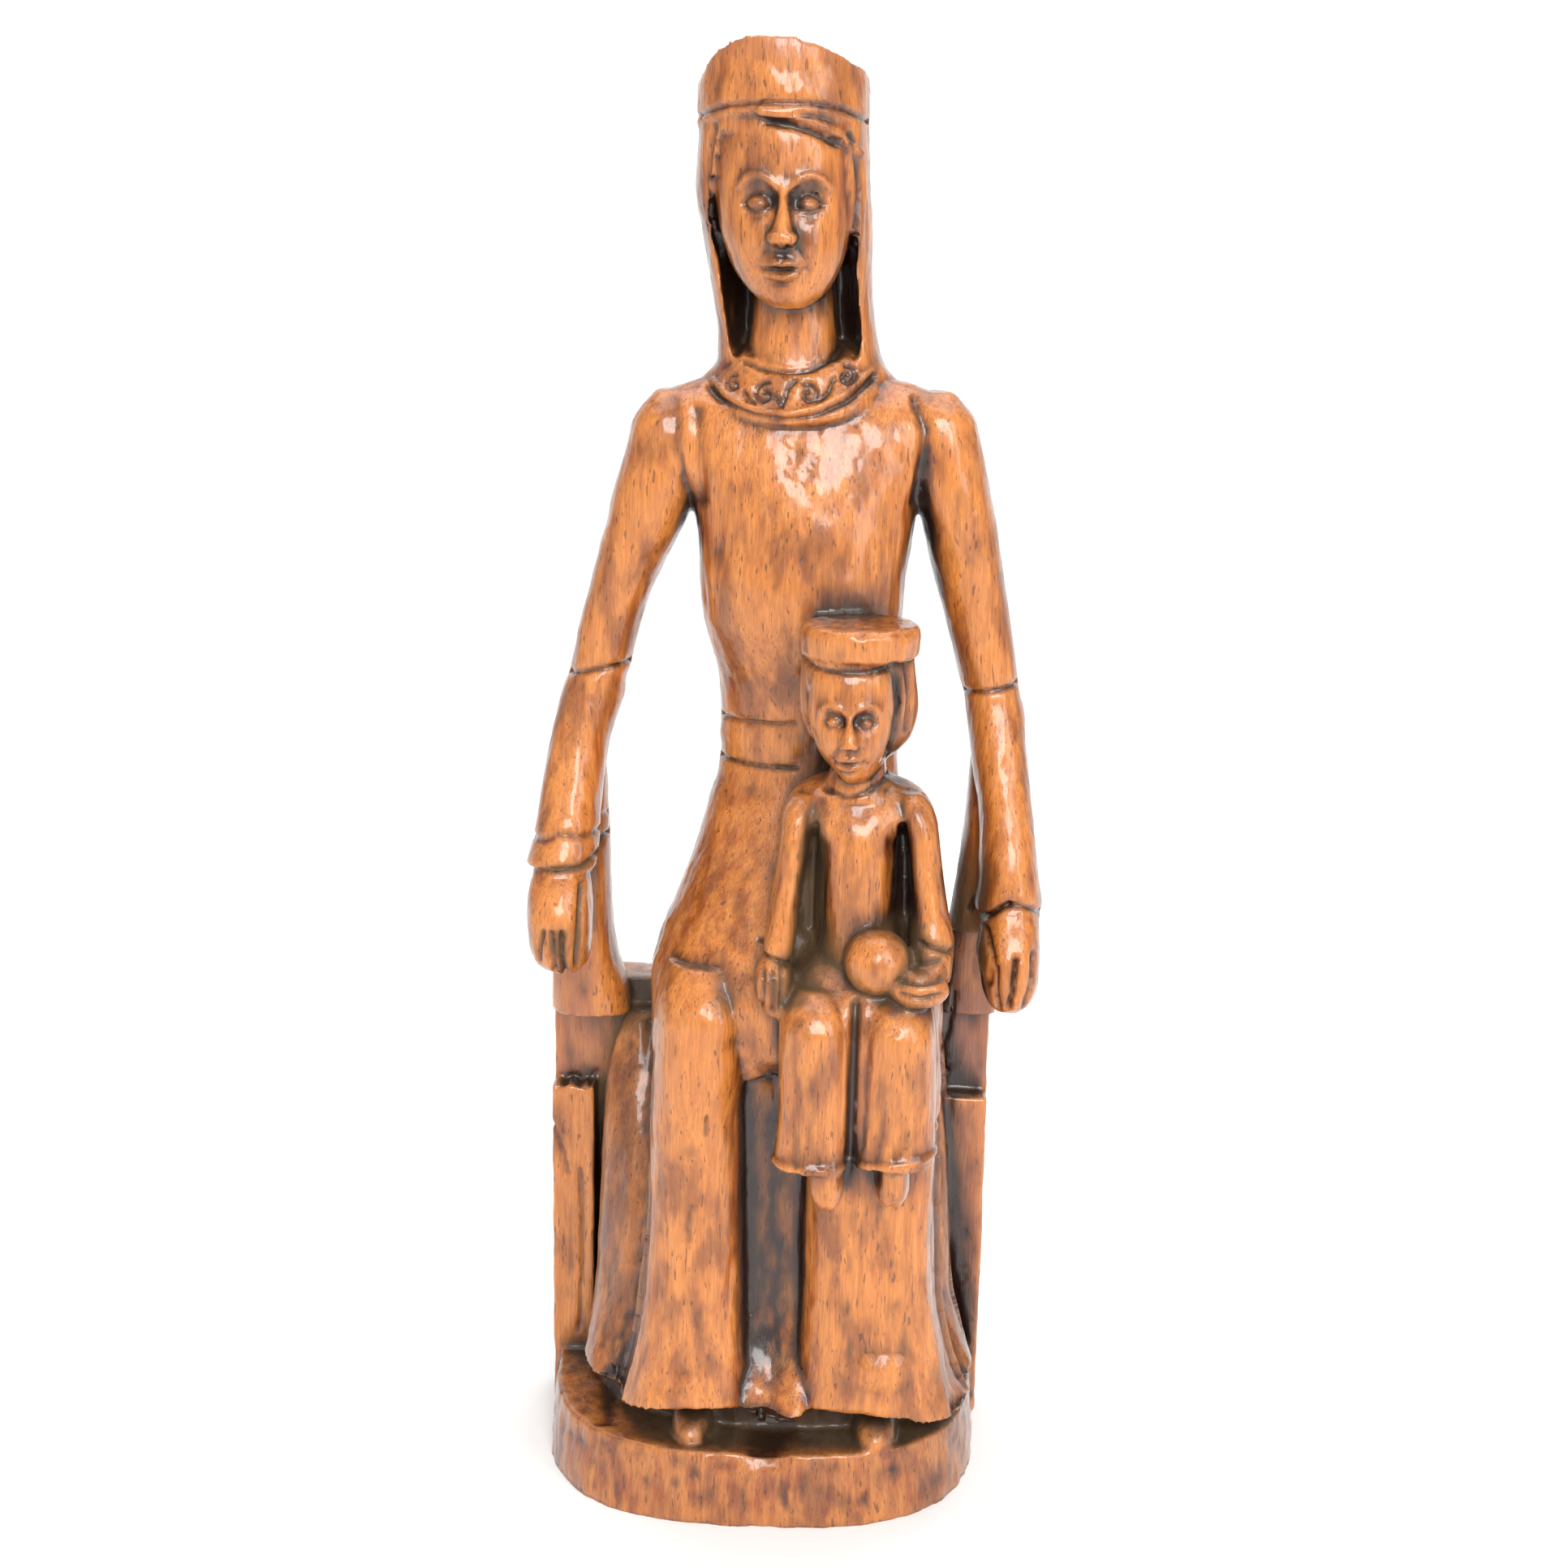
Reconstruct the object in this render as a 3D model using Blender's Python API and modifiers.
"""A wooden madonna and child, carved in one piece with its throne and plinth from half a log.

The front faces -Y, +Z is up, and the origin is on the floor under the middle of the plinth.
The figures are drawn on a grid whose unit is a thousandth of the statue's nominal height.
A form is a loft through level sections, and a section is given by its height and by its left,
right, front and back edge on that grid. The forms are fused into one skin, which is smoothed,
thinned to few faces and sawn off flat below.
"""

import math

import bmesh
import bpy
from mathutils import Matrix, Vector

# Driving sizes, in metres
FIGURE_HEIGHT = 0.30336
PLINTH_HEIGHT = 0.01664
PLINTH_WIDTH = 0.1008
PLINTH_DEPTH = 0.0648
PLINTH_FRONT = 0.0416
PLINTH_DRAFT = 0.0024
PLINTH_CURVE_DEPTH = 0.048
THRONE_WIDTH = 0.1024
THRONE_DEPTH = 0.0112
SEAT_HEIGHT = 0.0938
SIDE_THICKNESS = 0.0100
SIDE_LOW_HEIGHT = 0.0685
SIDE_STEP = 0.0056

# The flat back of the half log
BACK = PLINTH_DEPTH - PLINTH_FRONT

# The figures' own grid: its unit, and its level at the plinth's top
GRID_HEIGHT = 948.0
GRID_FOOT = 52.0
UNIT = FIGURE_HEIGHT / GRID_HEIGHT

# How the skin is made
SKIN_GRAIN = 0.00125
SMOOTH_PASSES = 3
SKIN_TRIANGLES = 9300
SECTION_SIDES = 40
SECTIONS_BETWEEN = 4
ROOT = 0.004

WOOD = {"color": (0.42, 0.155, 0.045, 1.0), "roughness": 0.34, "metallic": 0.0}

# Level sections of the figures: height, left, right, front and back edge
TORSO = [
    (500, -38, 88, -38, 48), (530, -36, 86, -36, 46), (580, -38, 84, -42, 46),
    (604, -43, 85, -51, 47), (628, -49, 87, -59, 48), (650, -51, 88, -61, 48),
    (675, -52, 91, -58, 47), (705, -58, 96, -53, 46), (732, -74, 110, -46, 43),
    (756, -88, 124, -37, 38), (774, -80, 114, -26, 30), (786, -50, 84, -10, 20),
]
ARM_LEFT = [
    (778, -82, -56, -8, 12), (760, -97, -54, -24, 26), (736, -103, -52, -29, 31),
    (714, -110, -54, -30, 32), (692, -115, -61, -29, 32), (670, -121, -72, -27, 31),
    (625, -133, -91, -22, 27), (588, -141, -100, -21, 26), (579, -144, -103, -22, 25),
    (568, -148, -104, -25, 27), (535, -155, -114, -34, 20), (493, -161, -118, -50, 4),
    (470, -164, -118, -59, -4), (455, -168, -120, -64, -8), (450, -160, -126, -58, -14),
]
HAND_LEFT = [
    (456, -158, -126, -58, -22), (445, -164, -123, -70, -22), (425, -166, -121, -80, -20),
    (405, -165, -121, -82, -20), (391, -160, -123, -78, -24), (384, -151, -128, -68, -32),
]
ARM_RIGHT = [
    (780, 90, 116, -8, 12), (762, 84, 132, -24, 26), (736, 88, 139, -29, 31),
    (714, 92, 144, -30, 32), (692, 99, 149, -29, 32), (670, 104, 153, -27, 31),
    (625, 117, 161, -22, 27), (588, 127, 168, -21, 26), (574, 131, 170, -22, 25),
    (562, 133, 173, -25, 27), (535, 137, 176, -34, 20), (493, 144, 181, -48, 6),
    (455, 145, 186, -60, -2), (432, 143, 189, -64, -4), (424, 148, 185, -60, -10),
]
HAND_RIGHT = [
    (438, 150, 181, -60, -16), (424, 147, 187, -70, -16), (404, 145, 188, -80, -16),
    (386, 148, 188, -82, -16), (373, 151, 185, -78, -18), (365, 156, 178, -68, -26),
]
LAP = [
    (535, -36, 86, -36, 46), (514, -39, 88, -40, 48), (493, -45, 93, -50, 50),
    (460, -54, 103, -67, 54), (427, -66, 112, -84, 56), (400, -77, 118, -98, 56),
    (375, -82, 122, -108, 56), (345, -82, 124, -106, 56), (320, -80, 122, -98, 56),
]
LEG_LEFT = [
    (398, -66, -14, -94, -30), (380, -73, -9, -107, -30), (360, -76, -8, -114, -30),
    (330, -77, -9, -115, -30), (283, -79, -12, -110, -30), (220, -80, -11, -106, -30),
    (160, -86, -9, -106, -28), (110, -93, -4, -111, -24), (78, -102, 0, -118, -20),
]
LEG_RIGHT = [
    (398, 34, 112, -94, -30), (380, 32, 118, -107, -30), (360, 31, 120, -113, -30),
    (330, 31, 122, -114, -30), (283, 30, 124, -110, -30), (213, 28, 126, -106, -30),
    (160, 28, 128, -106, -28), (110, 24, 139, -109, -24), (78, 18, 152, -114, -20),
]
VALLEY = [
    (380, -30, 50, -98, -30), (330, -30, 50, -92, -30), (260, -30, 50, -79, -30),
    (180, -28, 48, -73, -30), (120, -24, 46, -83, -30), (94, -20, 44, -102, -30),
    (78, -16, 40, -119, -34),
]
SKIRT = [
    (325, -104, 124, 14, 50), (300, -114, 128, -2, 56), (262, -120, 131, -26, 60),
    (200, -122, 134, -50, 60), (140, -124, 138, -66, 60), (105, -127, 146, -82, 60),
    (78, -131, 155, -102, 60),
]
UNDER_SKIRT = [(46, -118, 142, -84, 60), (84, -116, 138, -88, 60)]
FOOT_LEFT = [(70, -55, -35, -82, -50), (60, -60, -32, -98, -50), (46, -61, -31, -100, -50)]
FOOT_RIGHT = [(70, 72, 96, -82, -50), (60, 68, 100, -96, -50), (46, 67, 101, -98, -50)]
VEIL = [
    (966, -52, 53, -44, 54), (947, -55, 56, -46, 60), (910, -57, 58, -44, 62),
    (885, -53, 60, -41, 62), (843, -46, 61, -34, 58), (815, -42, 65, -28, 56),
    (798, -42, 69, -24, 54), (786, -52, 79, -18, 50), (772, -62, 94, -10, 44),
]
VEIL_HOLLOW = [
    (946, -40, 41, -64, 4), (900, -43, 45, -66, 10), (850, -36, 48, -66, 14),
    (815, -33, 52, -66, 14), (803, -30, 50, -66, 8),
]
HEAD = [
    (968, -38, 40, -40, 30), (948, -43, 45, -48, 30), (915, -43, 46, -52, 28),
    (890, -40, 46, -53, 24), (868, -34, 43, -53, 16), (852, -25, 36, -51, 4),
    (841, -14, 27, -47, -8), (835, -4, 18, -40, -20),
]
NECK = [(862, -20, 36, -20, 30), (830, -20, 38, -22, 30), (800, -23, 42, -26, 30),
        (780, -30, 50, -34, 30)]
COLLAR = [(807, -24, 48, -20, 22), (797, -34, 58, -34, 34), (786, -42, 67, -47, 40),
          (776, -38, 62, -42, 36)]
CROWN = [(946, -50, 50, -46, 50), (950, -56, 56, -52, 52), (975, -56, 56, -53, 52),
         (995, -55, 55, -54, 52)]
CHILD_HAT = [(616, 25, 93, -115, -52), (619, 20, 98, -120, -48), (633, 20, 99, -121, -48),
             (638, 24, 95, -117, -52)]
CHILD_HEAD = [
    (624, 27, 84, -112, -60), (600, 24, 84, -118, -58), (575, 25, 84, -120, -58),
    (556, 33, 80, -118, -60), (543, 42, 74, -113, -66), (535, 51, 68, -104, -78),
]
CHILD_HAIR = [
    (624, 23, 94, -96, -45), (600, 20, 97, -96, -42), (578, 20, 99, -94, -42),
    (563, 25, 96, -90, -42), (549, 35, 86, -84, -44), (541, 46, 76, -76, -50),
]
CHILD_NECK = [(556, 43, 78, -94, -50), (538, 42, 79, -98, -48), (522, 34, 86, -102, -46)]
CHILD_TORSO = [
    (532, 40, 82, -86, -50), (525, 22, 100, -96, -46), (514, 14, 108, -104, -42),
    (503, 22, 97, -110, -40), (490, 32, 89, -113, -36), (450, 34, 89, -115, -30),
    (420, 33, 94, -114, -30), (395, 28, 100, -112, -30),
]
CHILD_BACK = [(512, 20, 100, -84, -42), (480, 14, 108, -88, -40), (430, 8, 114, -92, -36),
              (395, 6, 114, -92, -34)]
CHILD_ARM_LEFT = [
    (523, 18, 34, -94, -62), (510, 11, 31, -106, -64), (480, 8, 27, -112, -70),
    (450, 4, 24, -115, -76), (420, 0, 21, -121, -88), (413, 1, 19, -119, -94),
]
CHILD_HAND_LEFT = [(417, 2, 17, -118, -96), (404, -5, 20, -128, -94), (390, -3, 19, -129, -96),
                   (377, 4, 15, -124, -106)]
CHILD_ARM_RIGHT = [
    (525, 84, 103, -94, -62), (511, 90, 112, -106, -64), (480, 95, 117, -110, -68),
    (450, 98, 122, -114, -72), (425, 97, 127, -124, -78), (408, 96, 126, -132, -86),
    (398, 98, 118, -130, -96),
]
CHILD_LAP = [
    (420, 24, 106, -96, -50), (402, 16, 113, -122, -50), (384, 14, 115, -136, -54),
    (350, 16, 114, -140, -70), (290, 16, 114, -139, -90), (280, 18, 112, -138, -90),
]
CHILD_LEG_LEFT = [
    (398, 20, 54, -128, -60), (384, 14, 59, -145, -70), (368, 12, 60, -150, -80),
    (310, 12, 61, -148, -90), (284, 10, 62, -150, -92), (276, 10, 62, -152, -92),
]
CHILD_LEG_RIGHT = [
    (396, 74, 110, -128, -60), (382, 67, 115, -144, -70), (366, 66, 117, -149, -80),
    (310, 65, 118, -147, -90), (288, 65, 118, -149, -92), (280, 65, 119, -151, -92),
]
CHILD_FOOT_LEFT = [(284, 34, 58, -146, -96), (262, 34, 58, -147, -98), (250, 38, 56, -143, -102),
                   (246, 43, 53, -134, -106)]
CHILD_FOOT_RIGHT = [(286, 78, 102, -144, -96), (264, 78, 102, -145, -98), (252, 81, 99, -141, -102),
                    (248, 86, 95, -132, -106)]

# Rounded solids: centre, and half sizes across, in depth and in height
ORB = ((76, -121, 418), (22.5, 22.5, 22.5))
CHILD_FINGERS = ((104, -130, 403), (20, 15, 13))

# The crown leans back and the collar leans forward by these angles
CROWN_LEAN = 11.0
COLLAR_LEAN = 28.0
COLLAR_PIVOT = (12, 0, 782)

# The crown's worn top: flat from one of these places to the other, with a slope beyond each
CROWN_FLAT = (-36.0, 6.0)
CROWN_SLOPES = (1.0, 0.28)

# The hem's waves: its mean level, the level where they fade out, their height, length and low point
HEM_LEVEL = 78.0
HEM_FADE = 150.0
HEM_WAVE = 7.0
HEM_LENGTH = 120.0
HEM_LOW = 12.0

SOFT, BLOCKY = 2.2, 5.0


def clear_scene():
    for old in list(bpy.data.objects):
        bpy.data.objects.remove(old)


def collection(name):
    made = bpy.data.collections.new(name)
    bpy.context.scene.collection.children.link(made)
    return made


def wood():
    material = bpy.data.materials.new("varnished_wood")
    material.use_nodes = True
    shader = material.node_tree.nodes["Principled BSDF"]
    shader.inputs["Base Color"].default_value = WOOD["color"]
    shader.inputs["Roughness"].default_value = WOOD["roughness"]
    shader.inputs["Metallic"].default_value = WOOD["metallic"]
    return material


def on_plinth(x, y, z):
    """A grid point of the figures, in metres."""
    return Vector((x * UNIT, y * UNIT, PLINTH_HEIGHT + (z - GRID_FOOT) * UNIT))


def on_hem(x, y, z):
    """A grid point of the skirt, whose lower edge runs in waves."""
    share = min(max((HEM_FADE - z) / (HEM_FADE - HEM_LEVEL), 0.0), 1.0)
    wave = HEM_WAVE * math.cos(2 * math.pi * (x - HEM_LOW) / HEM_LENGTH)
    return on_plinth(x, y, z - share * wave)


def slope(before, here, after):
    """The rate of change that lets a smooth curve pass here without overshooting."""
    first, second = here - before, after - here
    if first * second <= 0:
        return 0.0
    return 2 * first * second / (first + second)


def between(low, high, start, end, share):
    """A value on the smooth curve from low to high, with its rates of change at both ends."""
    square, cube = share * share, share**3
    return (
        (2 * cube - 3 * square + 1) * low
        + (cube - 2 * square + share) * start
        + (3 * square - 2 * cube) * high
        + (cube - square) * end
    )


def faired(stations):
    """The stations with smooth ones added between them."""
    last = len(stations) - 1
    rates = [
        [slope(*(stations[min(max(i + k, 0), last)][column] for k in (-1, 0, 1))) for column in range(5)]
        for i in range(last + 1)
    ]
    made = []
    for i in range(last):
        for step in range(SECTIONS_BETWEEN):
            share = step / SECTIONS_BETWEEN
            made.append(
                [
                    between(stations[i][c], stations[i + 1][c], rates[i][c], rates[i + 1][c], share)
                    for c in range(5)
                ]
            )
    return made + [list(stations[last])]


def rounded(angle, power):
    """A point of a unit circle that is squared off as power rises above 2."""
    c, s = math.cos(angle), math.sin(angle)
    return (
        math.copysign(abs(c) ** (2 / power), c),
        math.copysign(abs(s) ** (2 / power), s),
    )


def add_ring(bm, place, station, power):
    """One section as a ring of vertices. Returns its vertices and edges."""
    z, left, right, front, back = station
    ring = bmesh.ops.create_circle(bm, segments=SECTION_SIDES, radius=1.0)["verts"]
    for i, vert in enumerate(ring):
        across, deep = rounded(2 * math.pi * i / SECTION_SIDES, power)
        x = (left + right) / 2 + across * (right - left) / 2
        y = (front + back) / 2 + deep * (back - front) / 2
        vert.co = place(x, y, z)
    return ring, list({edge for vert in ring for edge in vert.link_edges})


def add_loft(bm, stations, power=SOFT, place=on_plinth, fair=True):
    """A closed body through the stations."""
    rings = [add_ring(bm, place, s, power) for s in (faired(stations) if fair else stations)]
    for (_, lower), (_, upper) in zip(rings, rings[1:]):
        bmesh.ops.bridge_loops(bm, edges=lower + upper)
    for ring, _ in (rings[0], rings[-1]):
        bmesh.ops.contextual_create(bm, geom=ring)
    return [vert for ring, _ in rings for vert in ring]


def add_egg(bm, centre, half):
    """A rounded solid with its centre and half sizes on the grid."""
    size = Matrix.Diagonal([value * UNIT for value in half]).to_4x4()
    bmesh.ops.create_uvsphere(
        bm,
        u_segments=24,
        v_segments=16,
        radius=1.0,
        matrix=Matrix.Translation(on_plinth(*centre)) @ size,
    )


def add_block(bm, low, high):
    """A box between two corners, in metres."""
    low, high = Vector(low), Vector(high)
    size = Matrix.Diagonal(high - low).to_4x4()
    bmesh.ops.create_cube(bm, size=1.0, matrix=Matrix.Translation((low + high) / 2) @ size)


def add_plinth(bm):
    """The plinth: rounded in front, and leaning in a little to its top. It reaches past both saw cuts."""
    front = -PLINTH_FRONT
    back = front + 2 * PLINTH_CURVE_DEPTH

    def in_metres(x, y, z):
        return Vector((x, y, z))

    def section(z, inset):
        half = PLINTH_WIDTH / 2 - inset / 2
        return (z, -half, half, front + inset, back)

    add_loft(
        bm,
        [section(-ROOT, 0.0), section(PLINTH_HEIGHT * 0.12, 0.0), section(PLINTH_HEIGHT, PLINTH_DRAFT)],
        power=2.8,
        place=in_metres,
        fair=False,
    )


def add_throne(bm):
    """The seat block, and a side on either hand whose lower part stands forward."""
    front, back = BACK - THRONE_DEPTH, BACK + ROOT
    half = THRONE_WIDTH / 2
    seat = PLINTH_HEIGHT + SEAT_HEIGHT
    add_block(bm, (-half + ROOT, front, ROOT), (half - ROOT, back, seat))
    for side in (-1, 1):
        outer, inner = side * half, side * (half - SIDE_THICKNESS)
        low, high = min(outer, inner), max(outer, inner)
        add_block(bm, (low, front, ROOT), (high, back, seat))
        add_block(bm, (low, front - SIDE_STEP, ROOT), (high, back, PLINTH_HEIGHT + SIDE_LOW_HEIGHT))


def add_posts(bm):
    """The wood left behind each forearm, from the seat up to the elbow."""
    left = [(330, -158, -100, -6, 44), (352, -158, -105, -6, 44), (375, -158, -112, -5, 43),
            (400, -157, -115, -4, 42), (470, -157, -117, -2, 38),
            (520, -153, -119, 0, 30), (545, -148, -122, 2, 22)]
    right = [(330, 120, 164, 22, 44), (394, 125, 168, 20, 44), (404, 127, 172, -8, 42),
             (470, 135, 174, -6, 38), (520, 138, 172, 0, 30), (545, 140, 168, 2, 22)]
    add_loft(bm, left, power=3.0)
    add_loft(bm, right, power=3.0)


def lean(verts, pivot, degrees):
    """Turns vertices about a level line across the statue. A positive angle lowers the front."""
    turn = Matrix.Rotation(math.radians(degrees), 4, "X")
    for vert in verts:
        vert.co = pivot + turn @ (vert.co - pivot)


def add_crown(bm):
    """The crown's band: leaning back, with its top worn down to either side of its highest place."""
    verts = add_loft(bm, CROWN, power=2.1)
    pivot = on_plinth(0, 0, CROWN[0][0])
    top = on_plinth(0, 0, CROWN[-1][0])
    for vert in verts:
        across = vert.co.x / UNIT
        left = CROWN_SLOPES[0] * max(CROWN_FLAT[0] - across, 0.0)
        right = CROWN_SLOPES[1] * max(across - CROWN_FLAT[1], 0.0)
        share = (vert.co.z - pivot.z) / (top.z - pivot.z)
        vert.co.z -= share * (left + right) * UNIT
    lean(verts, pivot, -CROWN_LEAN)


def make_skin(parts):
    """All the forms as one object, still overlapping."""
    bm = bmesh.new()
    add_plinth(bm)
    add_throne(bm)
    add_posts(bm)
    for form in (TORSO, ARM_LEFT, HAND_LEFT, ARM_RIGHT, HAND_RIGHT, LAP, HEAD, NECK):
        add_loft(bm, form)
    for form in (LEG_LEFT, LEG_RIGHT, VALLEY, SKIRT):
        add_loft(bm, form, place=on_hem)
    for form in (UNDER_SKIRT, FOOT_LEFT, FOOT_RIGHT, CHILD_HAT, CHILD_HEAD, CHILD_HAIR):
        add_loft(bm, form)
    for form in (CHILD_NECK, CHILD_TORSO, CHILD_BACK, CHILD_LAP):
        add_loft(bm, form)
    for form in (CHILD_ARM_LEFT, CHILD_HAND_LEFT, CHILD_ARM_RIGHT):
        add_loft(bm, form)
    for form in (CHILD_LEG_LEFT, CHILD_LEG_RIGHT, CHILD_FOOT_LEFT, CHILD_FOOT_RIGHT):
        add_loft(bm, form, power=2.6)
    add_crown(bm)
    lean(add_loft(bm, COLLAR), on_plinth(*COLLAR_PIVOT), COLLAR_LEAN)
    add_egg(bm, *ORB)
    add_egg(bm, *CHILD_FINGERS)
    bmesh.ops.recalc_face_normals(bm, faces=bm.faces)
    mesh = bpy.data.meshes.new("madonna_and_child")
    bm.to_mesh(mesh)
    bm.free()
    body = bpy.data.objects.new("madonna_and_child", mesh)
    parts.objects.link(body)
    return body


def make_cutter(cutters, name, fill):
    """A helper solid that isn't part of the statue."""
    bm = bmesh.new()
    fill(bm)
    bmesh.ops.recalc_face_normals(bm, faces=bm.faces)
    mesh = bpy.data.meshes.new(name)
    bm.to_mesh(mesh)
    bm.free()
    cutter = bpy.data.objects.new(name, mesh)
    cutter.hide_render = True
    cutter.display_type = "WIRE"
    cutters.objects.link(cutter)
    return cutter


def add_veil(parts, cutters):
    """The veil as a curtain round the back and sides of the head, open in front."""
    bm = bmesh.new()
    add_loft(bm, VEIL, power=2.4)
    bmesh.ops.recalc_face_normals(bm, faces=bm.faces)
    mesh = bpy.data.meshes.new("veil")
    bm.to_mesh(mesh)
    bm.free()
    veil = bpy.data.objects.new("veil", mesh)
    parts.objects.link(veil)
    hollow = make_cutter(cutters, "veil_hollow", lambda made: add_loft(made, VEIL_HOLLOW, power=2.6))
    opening = veil.modifiers.new("Opening", "BOOLEAN")
    opening.operation = "DIFFERENCE"
    opening.object = hollow
    return veil


def evaluated(obj):
    graph = bpy.context.evaluated_depsgraph_get()
    return bpy.data.meshes.new_from_object(obj.evaluated_get(graph))


def take_in(body, other):
    """Adds the other object's evaluated shape to the body's mesh and removes that object."""
    bm = bmesh.new()
    bm.from_mesh(body.data)
    bm.from_mesh(evaluated(other))
    bm.to_mesh(body.data)
    bm.free()
    bpy.data.objects.remove(other)


def add_fuse(body):
    """Fuses the overlapping forms into one skin, and softens their joints."""
    fuse = body.modifiers.new("Fuse", "REMESH")
    fuse.mode = "VOXEL"
    fuse.voxel_size = SKIN_GRAIN
    fuse.use_smooth_shade = True
    soften = body.modifiers.new("Soften", "SMOOTH")
    soften.factor = 0.5
    soften.iterations = SMOOTH_PASSES


def add_thinning(body):
    """Thins the skin to the number of triangles that it may have."""
    bpy.context.view_layer.update()
    skin = evaluated(body)
    triangles = sum(len(face.vertices) - 2 for face in skin.polygons)
    bpy.data.meshes.remove(skin)
    thin = body.modifiers.new("Thin", "DECIMATE")
    thin.ratio = min(1.0, SKIN_TRIANGLES / triangles)


def add_saw_cuts(body, cutters):
    """Saws the underside off at the floor, and the back off at the half log's flat side."""
    reach = 2 * (FIGURE_HEIGHT + PLINTH_HEIGHT)
    blocks = {
        "floor_cut": ((-reach, -reach, -4 * ROOT), (reach, reach, 0.0)),
        "back_cut": ((-reach, BACK, -reach), (reach, reach, reach)),
    }
    for name, corners in blocks.items():
        cut = body.modifiers.new(name, "BOOLEAN")
        cut.operation = "DIFFERENCE"
        cut.object = make_cutter(cutters, name, lambda made: add_block(made, *corners))


def main():
    clear_scene()
    parts = collection("madonna_and_child")
    cutters = collection("cutters")
    body = make_skin(parts)
    veil = add_veil(parts, cutters)
    bpy.context.view_layer.update()
    take_in(body, veil)
    add_fuse(body)
    add_thinning(body)
    add_saw_cuts(body, cutters)
    body.data.materials.append(wood())


main()
